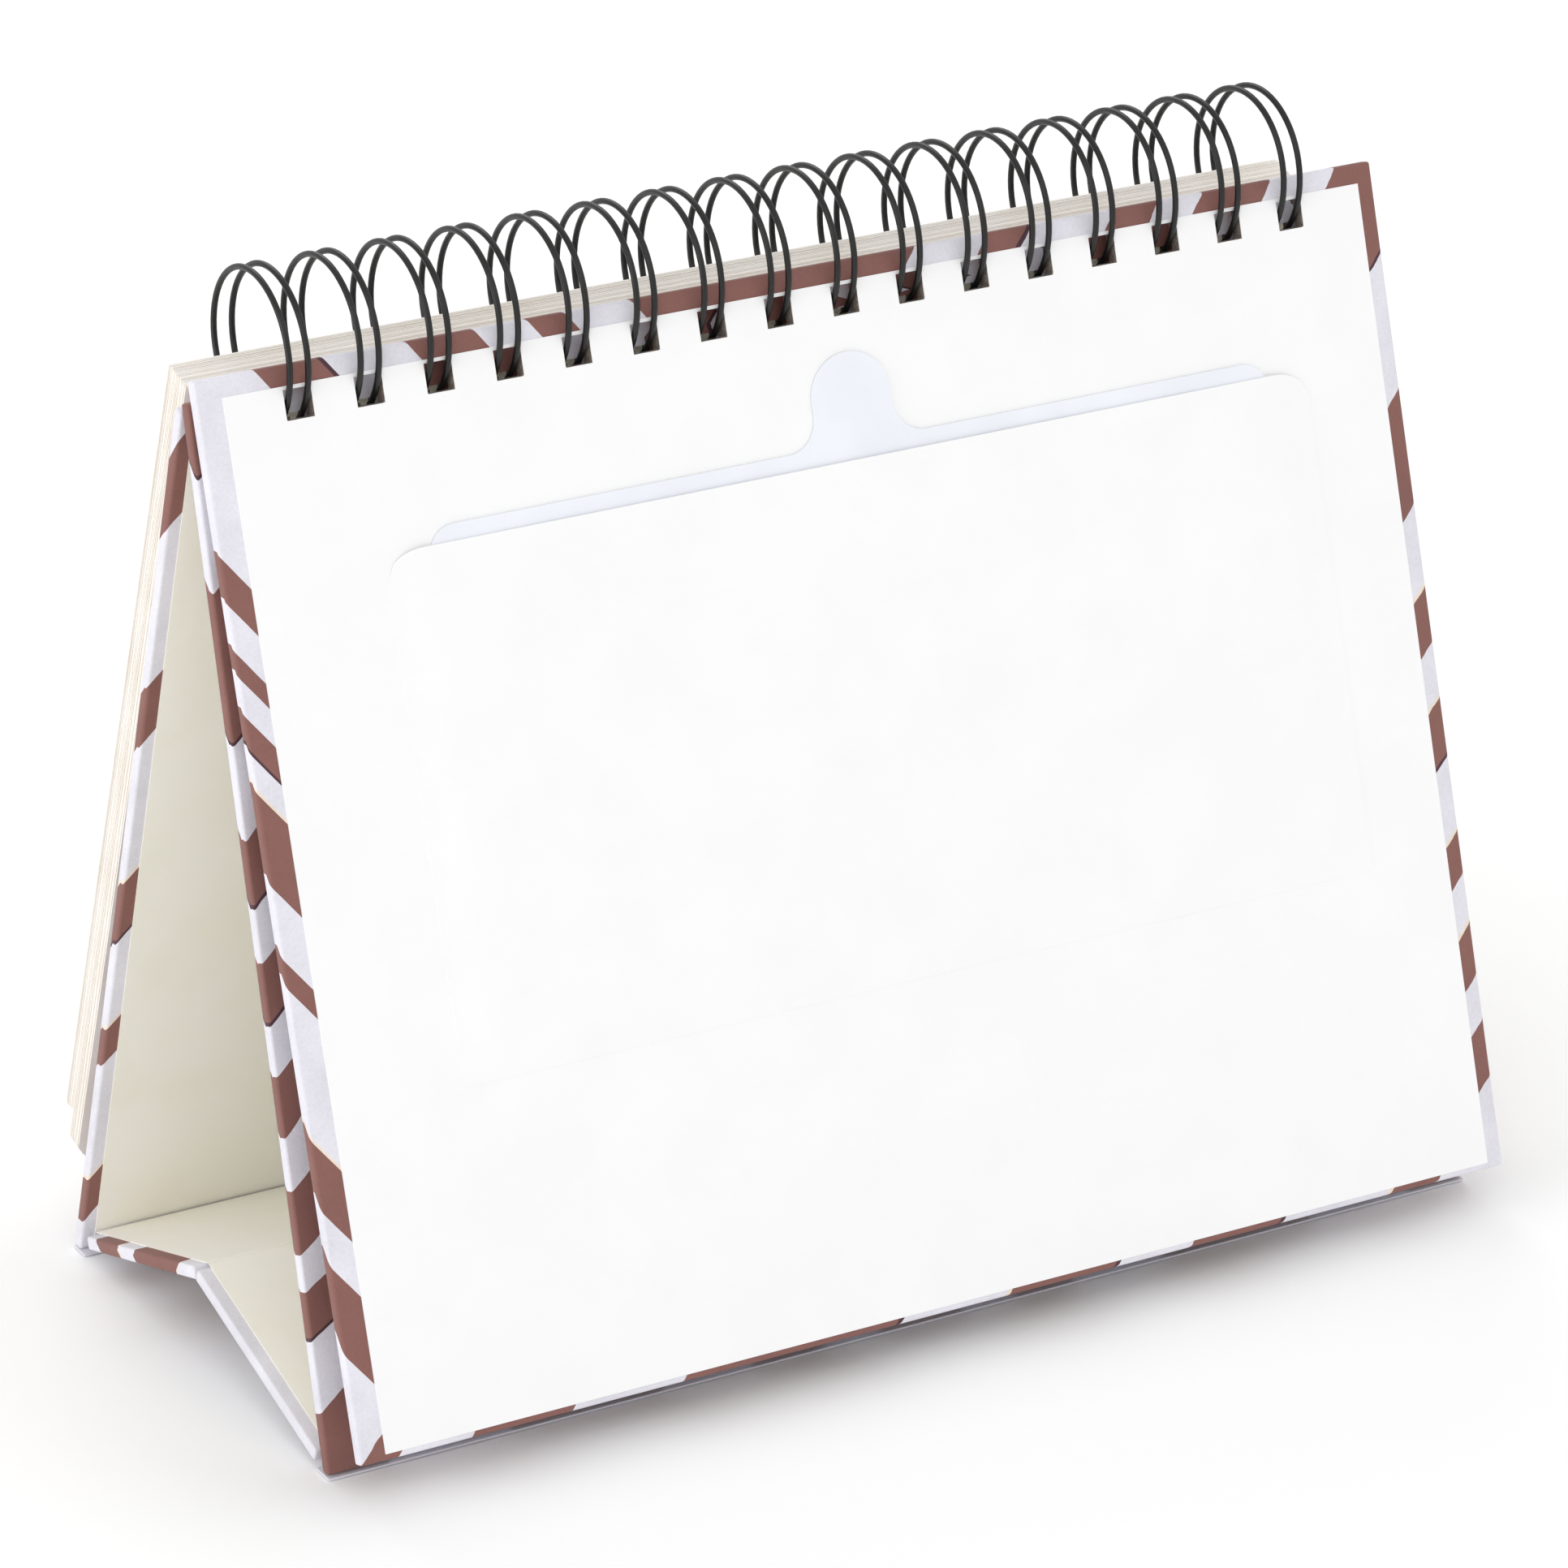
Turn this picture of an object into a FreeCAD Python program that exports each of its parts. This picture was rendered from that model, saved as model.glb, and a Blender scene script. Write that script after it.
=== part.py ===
import FreeCAD, Part
import os

import Sketcher

# Flip desk calendar: an easel of four wrapped boards, a black twin-loop binding, a hardback cover
# turned over in front of the easel, and the block of leaves that hangs behind it.
# Frame: X along the binding, +Y towards the leaves, +Z up, origin on the table under the middle of
# the whole object. Millimetres and degrees.

DRIVING_SIZES = {
    # boards and papers
    "board_width": 226.0,
    "core_thickness": 1.95,
    "wrap_thickness": 0.2,
    "liner_thickness": 0.15,
    "turn_in": 12.0,
    "liner_side_margin": 2.5,
    "liner_end_margin": 3.4,
    # binding
    "loop_pitch": 12.7,
    "loop_gaps": 15,
    "wire_diameter": 1.05,
    "wire_pair_spacing": 3.3,
    "wire_bend_radius": 1.1,
    "ring_radius": 13.5,
    "ring_y": 5.25,
    "spine_angle": 31.0,
    "closure_gap": 0.9,
    "hole_side": 5.0,
    "cover_hole_edge": 4.0,
    "board_hole_edge": 4.4,
    "leaf_hole_edge": 3.9,
    # cover
    "cover_height": 177.8,
    "cover_lean": 17.9,
    "cover_ring_offset": 9.8,
    "cover_wire_edge": 6.9,
    "cover_liner_left": 4.6,
    "cover_liner_right": 3.2,
    "cover_liner_bottom": 1.1,
    "pocket_left": 28.5,
    "pocket_width": 178.6,
    "pocket_mouth": 33.0,
    "pocket_depth": 88.0,
    "pocket_seam": 4.0,
    "card_thickness": 0.3,
    "card_play": 0.1,
    "card_width": 162.4,
    "card_rise": 2.8,
    "card_bottom_play": 0.3,
    "card_corner": 5.0,
    "tab_height": 15.2,
    "tab_half_width": 7.6,
    "tab_flare": 5.6,
    # easel
    "front_leg_height": 177.6,
    "front_leg_lean": 14.8,
    "front_leg_inner_face": 5.4,
    "front_leg_wire_edge": 6.13,
    "rear_leg_lean": 15.0,
    "rear_leg_inner_face": 7.95,
    "rear_leg_wire_edge": 7.6,
    "fold_paper": 0.35,
    "front_fold_overhang": 2.2,
    "rear_fold_overhang": 2.0,
    "crease_y": -0.85,
    "crease_height": 15.5,
    "crease_half_gap": 1.5,
    "front_flap_start": 3.4,
    "rear_flap_start": 6.3,
    # leaves
    "leaf_width": 214.5,
    "leaf_lean": 16.9,
    "leaf_ring_offset": 0.95,
    "leaf_wire_edge": 6.69,
    "leaf_corner": 3.0,
    "last_leaf_thickness": 0.3,
    "inner_pack_thickness": 1.17,
    "inner_pack_height": 166.0,
    "outer_pack_thickness": 0.89,
    "outer_pack_height": 160.5,
}
PACKS_IN_GROUP = 3
LEAF_GAP = 0.02
START = "0 * 1"
OVERLAP = 1

doc = FreeCAD.newDocument("flip_desk_calendar")
sheet = doc.addObject("Spreadsheet::Sheet", "sizes")
for row, (alias, value) in enumerate(DRIVING_SIZES.items(), start=1):
    sheet.set(f"A{row}", alias)
    sheet.set(f"B{row}", str(value))
    sheet.setAlias(f"B{row}", alias)
doc.recompute()


def cell(alias):
    """The sheet's cell as it is written in an expression."""
    return f"<<sizes>>.{alias}"


def size(alias):
    """The sheet's value as a number."""
    return float(sheet.get(alias))


# ---- expressions that several pieces share -------------------------------------------------------

BOARD = f"({cell('core_thickness')} + 2 * {cell('wrap_thickness')})"
HALF_BOARD = f"({BOARD} / 2)"


def up_angle(lean_alias, leans_back):
    """Angle from +Y to the direction that runs up a board."""
    sign = "-" if leans_back else "+"
    return f"(90 {sign} {cell(lean_alias)})"


def wire_drop(offset):
    """Distance, along a board, from the ring's centre line down to the wire inside the board."""
    return f"sqrt({cell('ring_radius')} ^ 2 - ({offset}) ^ 2)"


def hung_panel(angle, offset, reach):
    """Where a panel's bottom edge lies: its middle plane is offset from the ring's centre, and it
    reaches that far below the centre along its own slope."""
    base_y = f"{cell('ring_y')} - ({offset}) * sin({angle}) - ({reach}) * cos({angle})"
    base_z = f"{RING_Z} + ({offset}) * cos({angle}) - ({reach}) * sin({angle})"
    return base_y, base_z


# The front leg stands on its fold paper, so its height and lean set the height of the ring. The
# two legs' inner faces have fixed distances from the ring, so thicker boards grow outwards.
FRONT_ANGLE = up_angle("front_leg_lean", True)
FRONT_OFFSET = f"({cell('front_leg_inner_face')} + {HALF_BOARD})"
FRONT_REACH = (
    f"({wire_drop(FRONT_OFFSET)} + {cell('front_leg_height')} - {cell('front_leg_wire_edge')})"
)
RING_Z = (
    f"({cell('fold_paper')} + ({HALF_BOARD} - {FRONT_OFFSET}) * cos({FRONT_ANGLE})"
    f" + {FRONT_REACH} * sin({FRONT_ANGLE}))"
)
FRONT_Y, FRONT_Z = hung_panel(FRONT_ANGLE, FRONT_OFFSET, FRONT_REACH)
FRONT_ARRIS_Y = f"({FRONT_Y} + {HALF_BOARD} * sin({FRONT_ANGLE}))"

# The rear leg is as long as it takes to reach its own fold paper.
REAR_ANGLE = up_angle("rear_leg_lean", False)
REAR_OFFSET = f"({cell('rear_leg_inner_face')} - {HALF_BOARD})"
REAR_REACH = (
    f"(({RING_Z} - {cell('fold_paper')} + ({REAR_OFFSET} + {HALF_BOARD}) * cos({REAR_ANGLE}))"
    f" / sin({REAR_ANGLE}))"
)
REAR_HEIGHT = f"({REAR_REACH} - {wire_drop(REAR_OFFSET)} + {cell('rear_leg_wire_edge')})"
REAR_Y, REAR_Z = hung_panel(REAR_ANGLE, REAR_OFFSET, REAR_REACH)
REAR_ARRIS_Y = f"({REAR_Y} - {HALF_BOARD} * sin({REAR_ANGLE}))"

COVER_ANGLE = up_angle("cover_lean", True)
COVER_OFFSET = cell("cover_ring_offset")
COVER_REACH = f"({wire_drop(COVER_OFFSET)} + {cell('cover_height')} - {cell('cover_wire_edge')})"
COVER_Y, COVER_Z = hung_panel(COVER_ANGLE, COVER_OFFSET, COVER_REACH)

# The base flaps run from the two fold corners, where the legs' faces meet the table, to the crease.
FRONT_CORNER_Y = f"({FRONT_ARRIS_Y} - {cell('fold_paper')} * tan({cell('front_leg_lean')}))"
REAR_CORNER_Y = (
    f"({REAR_ARRIS_Y} + {BOARD} / cos({cell('rear_leg_lean')})"
    f" + {cell('fold_paper')} * tan({cell('rear_leg_lean')}))"
)
CREASE_FROM_FRONT = f"({cell('crease_y')} - {FRONT_CORNER_Y})"
CREASE_FROM_REAR = f"({REAR_CORNER_Y} - {cell('crease_y')})"
FRONT_FLAP_ANGLE = f"atan({cell('crease_height')} / {CREASE_FROM_FRONT})"
REAR_FLAP_ANGLE = f"(180 deg - atan({cell('crease_height')} / {CREASE_FROM_REAR}))"
FRONT_FLAP_REACH = f"sqrt({CREASE_FROM_FRONT} ^ 2 + {cell('crease_height')} ^ 2)"
REAR_FLAP_REACH = f"sqrt({CREASE_FROM_REAR} ^ 2 + {cell('crease_height')} ^ 2)"


# ---- sketch and feature helpers ------------------------------------------------------------------

def new_body(label):
    body = doc.addObject("PartDesign::Body", label)
    body.Label = label
    return body


def origin_plane(body, role):
    return next(item for item in body.Origin.OriginFeatures if item.Role == role)


def new_sketch(body, name, level="0"):
    """A sketch on the body's XY plane, raised to a level."""
    sketch = body.newObject("Sketcher::SketchObject", f"{body.Name}_{name}")
    sketch.AttachmentSupport = [(origin_plane(body, "XY_Plane"), "")]
    sketch.MapMode = "FlatFace"
    sketch.setExpression("AttachmentOffset.Base.z", level)
    return sketch


def bind_point(sketch, geometry, point, across, along):
    """Fix one sketch point by its distances from the sketch's origin."""
    for kind, expression in (("DistanceX", across), ("DistanceY", along)):
        index = sketch.addConstraint(Sketcher.Constraint(kind, -1, 1, geometry, point, 1.0))
        sketch.setExpression(f"Constraints[{index}]", expression)


def draw_rectangle(sketch, left, bottom, right, top):
    """A rectangle whose opposite corners are given as expressions."""
    corners = [FreeCAD.Vector(x, y, 0) for x, y in ((0, 0), (1, 0), (1, 1), (0, 1))]
    first = sketch.GeometryCount
    for index in range(4):
        sketch.addGeometry(Part.LineSegment(corners[index], corners[(index + 1) % 4]), False)
    for index in range(4):
        following = first + (index + 1) % 4
        sketch.addConstraint(Sketcher.Constraint("Coincident", first + index, 2, following, 1))
    for index in (0, 2):
        sketch.addConstraint(Sketcher.Constraint("Horizontal", first + index))
    for index in (1, 3):
        sketch.addConstraint(Sketcher.Constraint("Vertical", first + index))
    bind_point(sketch, first, 1, left, bottom)
    bind_point(sketch, first + 2, 1, right, top)


def draw_circle(sketch, across, along, radius):
    circle = Part.Circle(FreeCAD.Vector(1, 1, 0), FreeCAD.Vector(0, 0, 1), 1.0)
    index = sketch.addGeometry(circle, False)
    bind_point(sketch, index, 3, across, along)
    constraint = sketch.addConstraint(Sketcher.Constraint("Radius", index, 1.0))
    sketch.setExpression(f"Constraints[{constraint}]", radius)


def pad(body, sketch, thickness, reversed_side=False):
    feature = body.newObject("PartDesign::Pad", f"{sketch.Name}_pad")
    feature.Profile = sketch
    feature.setExpression("Length", thickness)
    feature.Reversed = reversed_side
    return feature


def punch_holes(body, width, top, hole_edge):
    """The row of square binding holes along a sheet's top edge, cut right through."""
    doc.recompute()
    solid_before = body.Shape.Volume
    half_row = f"{cell('loop_gaps')} * {cell('loop_pitch')} / 2"
    side = cell("hole_side")
    left = f"({width}) / 2 - {half_row} - {side} / 2"
    upper = f"{top} - {hole_edge}"
    sketch = new_sketch(body, "hole")
    draw_rectangle(sketch, left, f"{upper} - {side}", f"{left} + {side}", upper)
    pocket = body.newObject("PartDesign::Pocket", f"{body.Name}_hole_cut")
    pocket.Profile = sketch
    pocket.Type = "ThroughAll"
    pocket.Midplane = True
    pattern = body.newObject("PartDesign::LinearPattern", f"{body.Name}_hole_row")
    pattern.Originals = [pocket]
    pattern.Direction = (sketch, ["H_Axis"])
    pattern.setExpression("Length", f"{cell('loop_gaps')} * {cell('loop_pitch')}")
    pattern.setExpression("Occurrences", f"{cell('loop_gaps')} + 1")
    body.Tip = pattern
    doc.recompute()
    hole_area = size("hole_side") ** 2
    if solid_before - body.Shape.Volume < hole_area * size("liner_thickness"):
        raise RuntimeError(f"the holes in {body.Label} cut nothing")


def round_edges(body, corners, radius):
    """Round the upright edges that stand at the given (x, y) corners of a flat sheet."""
    doc.recompute()
    names = []
    for number, edge in enumerate(body.Shape.Edges, start=1):
        start, end = edge.firstVertex().Point, edge.lastVertex().Point
        upright = abs(start.x - end.x) + abs(start.y - end.y) < 1e-6
        placed = [start.distanceToPoint(FreeCAD.Vector(x, y, start.z)) < 1e-4 for x, y in corners]
        if upright and any(placed):
            names.append(f"Edge{number}")
    if len(names) != len(corners):
        raise RuntimeError(f"{body.Label} has {len(names)} corners to round, not {len(corners)}")
    tip = body.Tip
    fillet = body.newObject("PartDesign::Fillet", f"{body.Name}_corners")
    fillet.Base = (tip, names)
    fillet.setExpression("Radius", radius)
    body.Tip = fillet


def place_sheet(body, width, angle, base_y, base_z):
    """Turn a flat sheet about X to its slope and centre it on the object's middle."""
    body.Placement = FreeCAD.Placement(FreeCAD.Vector(), FreeCAD.Rotation(FreeCAD.Vector(1, 0, 0), 1.0))
    body.setExpression("Placement.Base.x", f"-({width}) / 2")
    body.setExpression("Placement.Base.y", base_y)
    body.setExpression("Placement.Base.z", base_z)
    body.setExpression("Placement.Rotation.Angle", angle)


# ---- wrapped boards ------------------------------------------------------------------------------

class Panel:
    """One board of the calendar with the paper that wraps it.

    Its local X runs along the binding, its local Y up its slope. The wrap covers the outer face and
    turns in round the edges, and the liner hides the turned-in paper on the inner face, which looks
    along local +Z when inner_sign is 1 and along -Z when it is -1."""

    def __init__(self, name, bottom, top, outer_level, inner_sign, angle, base_y, base_z):
        self.name = name
        self.bottom = bottom
        self.top = top
        self.outer_level = outer_level
        self.inner_sign = inner_sign
        self.place = (angle, base_y, base_z)

    def level(self, depth):
        """The local Z of a depth counted inwards from the outer face."""
        sign = "+" if self.inner_sign > 0 else "-"
        return f"{self.outer_level} {sign} ({depth})"

    def layer(self, body, name, depth, thickness, rectangles):
        sketch = new_sketch(body, name, self.level(depth))
        for rectangle in rectangles:
            draw_rectangle(sketch, *rectangle)
        return pad(body, sketch, thickness, self.inner_sign < 0)

    def inset(self, margin):
        left = margin
        right = f"{cell('board_width')} - {margin}"
        return left, f"{self.bottom} + {margin}", right, f"{self.top} - {margin}"

    def finish(self, body, hole_edge):
        if hole_edge:
            punch_holes(body, cell("board_width"), self.top, hole_edge)
        place_sheet(body, cell("board_width"), *self.place)

    def make_board(self, hole_edge=None):
        body = new_body(f"{self.name}_board")
        wrap = cell("wrap_thickness")
        self.layer(body, "core", wrap, cell("core_thickness"), [self.inset(wrap)])
        self.finish(body, hole_edge)

    def make_wrap(self, hole_edge=None):
        body = new_body(f"{self.name}_wrap")
        wrap = cell("wrap_thickness")
        outline = (START, self.bottom, cell("board_width"), self.top)
        self.layer(body, "outer", START, wrap, [outline])
        self.layer(body, "edges", wrap, cell("core_thickness"), [outline, self.inset(wrap)])
        inner_depth = f"{wrap} + {cell('core_thickness')}"
        window = self.inset(cell("turn_in"))
        self.layer(body, "turn_ins", inner_depth, wrap, [outline, window])
        self.finish(body, hole_edge)

    def make_liner(self, margins, hole_edge=None):
        body = new_body(f"{self.name}_liner")
        left, bottom, right, top = margins
        far_side = f"{cell('board_width')} - {right}"
        outline = (left, f"{self.bottom} + {bottom}", far_side, f"{self.top} - {top}")
        self.layer(body, "sheet", BOARD, cell("liner_thickness"), [outline])
        inner_depth = f"{cell('wrap_thickness')} + {cell('core_thickness')}"
        window = self.inset(cell("turn_in"))
        self.layer(body, "filler", inner_depth, cell("wrap_thickness"), [window])
        self.finish(body, hole_edge)


SIDE_MARGIN = cell("liner_side_margin")
LEG_MARGINS = (SIDE_MARGIN, SIDE_MARGIN, SIDE_MARGIN, cell("liner_end_margin"))
BASE_MARGINS = (SIDE_MARGIN, SIDE_MARGIN, SIDE_MARGIN, SIDE_MARGIN)
COVER_MARGINS = (
    cell("cover_liner_left"),
    cell("cover_liner_bottom"),
    cell("cover_liner_right"),
    cell("liner_end_margin"),
)

cover = Panel(
    "cover", START, cell("cover_height"), f"-{HALF_BOARD}", 1, COVER_ANGLE, COVER_Y, COVER_Z
)
front_leg = Panel(
    "front_leg", START, cell("front_leg_height"), HALF_BOARD, -1, FRONT_ANGLE, FRONT_Y, FRONT_Z
)
rear_leg = Panel(
    "rear_leg", START, REAR_HEIGHT, f"-{HALF_BOARD}", 1, REAR_ANGLE, REAR_Y, REAR_Z
)
front_base = Panel(
    "front_base", cell("front_flap_start"), f"{FRONT_FLAP_REACH} - {cell('crease_half_gap')}",
    START, 1, FRONT_FLAP_ANGLE, FRONT_CORNER_Y, START,
)
rear_base = Panel(
    "rear_base", cell("rear_flap_start"), f"{REAR_FLAP_REACH} - {cell('crease_half_gap')}",
    START, -1, REAR_FLAP_ANGLE, REAR_CORNER_Y, START,
)

for panel, margins, hole_edge in (
    (cover, COVER_MARGINS, cell("cover_hole_edge")),
    (front_leg, LEG_MARGINS, cell("board_hole_edge")),
    (rear_leg, LEG_MARGINS, cell("board_hole_edge")),
    (front_base, BASE_MARGINS, None),
    (rear_base, BASE_MARGINS, None),
):
    panel.make_board(hole_edge)
    panel.make_wrap(hole_edge)
    panel.make_liner(margins, hole_edge)


# ---- pocket and card on the inside of the cover --------------------------------------------------

LINER_FACE = f"{HALF_BOARD} + {cell('liner_thickness')}"
CARD_SPACE = f"({cell('card_thickness')} + 2 * {cell('card_play')})"
MOUTH = f"({cell('cover_height')} - {cell('pocket_mouth')})"
POCKET_RIGHT = f"{cell('pocket_left')} + {cell('pocket_width')}"
POCKET_BOTTOM = f"{MOUTH} - {cell('pocket_depth')}"
SEAM = cell("pocket_seam")


def make_pocket_sheet():
    """The paper pocket: a front sheet glued down by a seam along its two sides and its bottom."""
    body = new_body("cover_pocket_sheet")
    outline = (cell("pocket_left"), POCKET_BOTTOM, POCKET_RIGHT, MOUTH)
    seam = new_sketch(body, "seam", LINER_FACE)
    draw_rectangle(seam, *outline)
    pad(body, seam, f"{CARD_SPACE} + {cell('liner_thickness')}")
    doc.recompute()
    full = body.Shape.Volume
    space = new_sketch(body, "space", LINER_FACE)
    left = f"{cell('pocket_left')} + {SEAM}"
    right = f"{POCKET_RIGHT} - {SEAM}"
    draw_rectangle(space, left, f"{POCKET_BOTTOM} + {SEAM}", right, f"{MOUTH} + {OVERLAP}")
    cut = body.newObject("PartDesign::Pocket", "cover_pocket_space")
    cut.Profile = space
    cut.Reversed = True
    cut.setExpression("Length", CARD_SPACE)
    body.Tip = cut
    doc.recompute()
    if full - body.Shape.Volume < 0.3 * full:
        raise RuntimeError("the card's space was not cut out of the pocket")
    place_sheet(body, cell("board_width"), COVER_ANGLE, COVER_Y, COVER_Z)


def make_pocket_card():
    """The card in the pocket, with the round finger tab that stands up from its top edge."""
    body = new_body("pocket_card")
    level = f"{LINER_FACE} + {cell('card_play')}"
    left = f"({cell('pocket_left')} + ({cell('pocket_width')} - {cell('card_width')}) / 2)"
    right = f"({left} + {cell('card_width')})"
    top = f"({MOUTH} + {cell('card_rise')})"
    bottom = f"({POCKET_BOTTOM} + {SEAM} + {cell('card_bottom_play')})"
    middle = f"({left} + {cell('card_width')} / 2)"
    half, flare = cell("tab_half_width"), cell("tab_flare")
    tab_top = f"({top} + {cell('tab_height')})"
    thickness = cell("card_thickness")

    sheet_sketch = new_sketch(body, "sheet", level)
    draw_rectangle(sheet_sketch, left, bottom, right, top)
    pad(body, sheet_sketch, thickness)
    foot = new_sketch(body, "tab_foot", level)
    foot_left = f"{middle} - {half} - {flare}"
    foot_right = f"{middle} + {half} + {flare}"
    root = f"{top} - {OVERLAP}"
    draw_rectangle(foot, foot_left, root, foot_right, f"{top} + {flare}")
    pad(body, foot, thickness)
    neck = new_sketch(body, "tab_neck", level)
    draw_rectangle(neck, f"{middle} - {half}", root, f"{middle} + {half}", f"{tab_top} - {half}")
    pad(body, neck, thickness)
    head = new_sketch(body, "tab_head", level)
    draw_circle(head, middle, f"{tab_top} - {half}", half)
    pad(body, head, thickness)
    doc.recompute()
    full = body.Shape.Volume
    flares = new_sketch(body, "tab_flares", level)
    draw_circle(flares, foot_left, f"{top} + {flare}", flare)
    draw_circle(flares, foot_right, f"{top} + {flare}", flare)
    cut = body.newObject("PartDesign::Pocket", "card_flare_cut")
    cut.Profile = flares
    cut.Type = "ThroughAll"
    cut.Midplane = True
    body.Tip = cut
    doc.recompute()
    if full - body.Shape.Volume < size("tab_flare") * size("card_thickness"):
        raise RuntimeError("the tab's flares were not cut")
    card_left = size("pocket_left") + (size("pocket_width") - size("card_width")) / 2
    card_top = size("cover_height") - size("pocket_mouth") + size("card_rise")
    corners = [(card_left, card_top), (card_left + size("card_width"), card_top)]
    round_edges(body, corners, cell("card_corner"))
    place_sheet(body, cell("board_width"), COVER_ANGLE, COVER_Y, COVER_Z)


make_pocket_sheet()
make_pocket_card()


# ---- fold papers under the two legs --------------------------------------------------------------

def make_fold_paper(label, start_y, depth):
    """A flat strip of the wrap under a leg's bottom edge: it is what the calendar stands on."""
    strip = doc.addObject("Part::Box", label)
    strip.Label = label
    strip.setExpression("Length", cell("board_width"))
    strip.setExpression("Width", depth)
    strip.setExpression("Height", cell("fold_paper"))
    strip.setExpression("Placement.Base.x", f"-{cell('board_width')} / 2")
    strip.setExpression("Placement.Base.y", start_y)
    return strip


front_strip = make_fold_paper(
    "front_fold_paper", f"{FRONT_ARRIS_Y} - {BOARD}", f"{BOARD} + {cell('front_fold_overhang')}"
)
rear_strip = make_fold_paper(
    "rear_fold_paper",
    f"{REAR_ARRIS_Y} - {cell('rear_fold_overhang')}",
    f"{BOARD} + {cell('rear_fold_overhang')}",
)


# ---- leaves --------------------------------------------------------------------------------------

LEAF_ANGLE = up_angle("leaf_lean", False)


def make_leaves(label, inner_face, thickness, height):
    """A pack of leaves, punched along its top and hanging from the rings behind the easel.

    inner_face is its distance from the ring's centre to its face on the easel's side."""
    body = new_body(label)
    middle = f"({cell('leaf_ring_offset')} + {LEAF_BLOCK} / 2)"
    top_below_ring = f"({wire_drop(middle)} - {cell('leaf_wire_edge')})"
    level = f"-({inner_face} + {thickness})"
    sketch = new_sketch(body, "sheet", level)
    draw_rectangle(sketch, START, START, cell("leaf_width"), height)
    pad(body, sketch, thickness)
    doc.recompute()
    round_edges(body, [(0, 0), (size("leaf_width"), 0)], cell("leaf_corner"))
    punch_holes(body, cell("leaf_width"), height, cell("leaf_hole_edge"))
    base_y, base_z = hung_panel(LEAF_ANGLE, START, f"({top_below_ring} + {height})")
    place_sheet(body, cell("leaf_width"), LEAF_ANGLE, base_y, base_z)


LEAF_BLOCK = (
    f"({cell('last_leaf_thickness')} + {PACKS_IN_GROUP} * {cell('inner_pack_thickness')}"
    f" + {PACKS_IN_GROUP} * {cell('outer_pack_thickness')} + {2 * PACKS_IN_GROUP} * {LEAF_GAP})"
)
inner_face = cell("leaf_ring_offset")
make_leaves("last_leaf", inner_face, cell("last_leaf_thickness"), cell("inner_pack_height"))
inner_face = f"{inner_face} + {cell('last_leaf_thickness')} + {LEAF_GAP}"
for group in ("inner", "outer"):
    thickness = cell(f"{group}_pack_thickness")
    for number in range(1, PACKS_IN_GROUP + 1):
        make_leaves(f"{group}_leaves_{number}", inner_face, thickness, cell(f"{group}_pack_height"))
        inner_face = f"{inner_face} + {thickness} + {LEAF_GAP}"


# ---- twin-loop binding ---------------------------------------------------------------------------

doc.recompute()


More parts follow.
